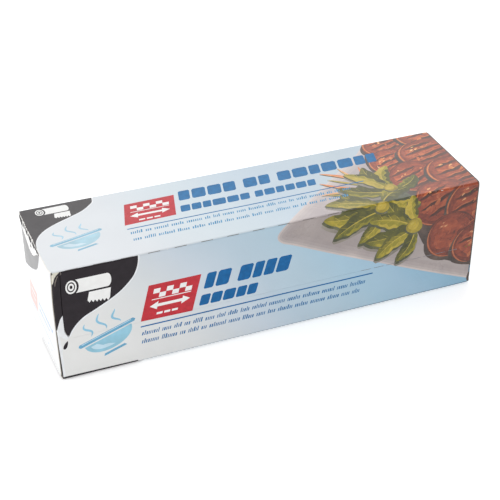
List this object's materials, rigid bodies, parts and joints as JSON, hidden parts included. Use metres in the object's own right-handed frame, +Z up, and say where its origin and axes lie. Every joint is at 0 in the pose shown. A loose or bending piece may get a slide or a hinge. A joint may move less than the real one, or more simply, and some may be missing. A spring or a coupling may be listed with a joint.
{
  "type": "boxed aluminium foil roll",
  "caption": "Closed long printed board carton holding a roll of kitchen foil, with glued end flaps and an unopened tear line along the front.",
  "frame": {"origin": "centre of the bounding box's bottom, on the face that the carton rests on", "axes": "+X along the carton, from the end with the black corner field to the end with the picture; -Y out of the front panel with the tear line; +Z up"},
  "size_m": [0.3164, 0.0808, 0.0868],
  "materials": {
    "printed_board": "glossy varnished print on white-lined folding board"
  },
  "bodies": {
    "root": {"foil_carton": "printed_board"}
  },
  "joints": []
}
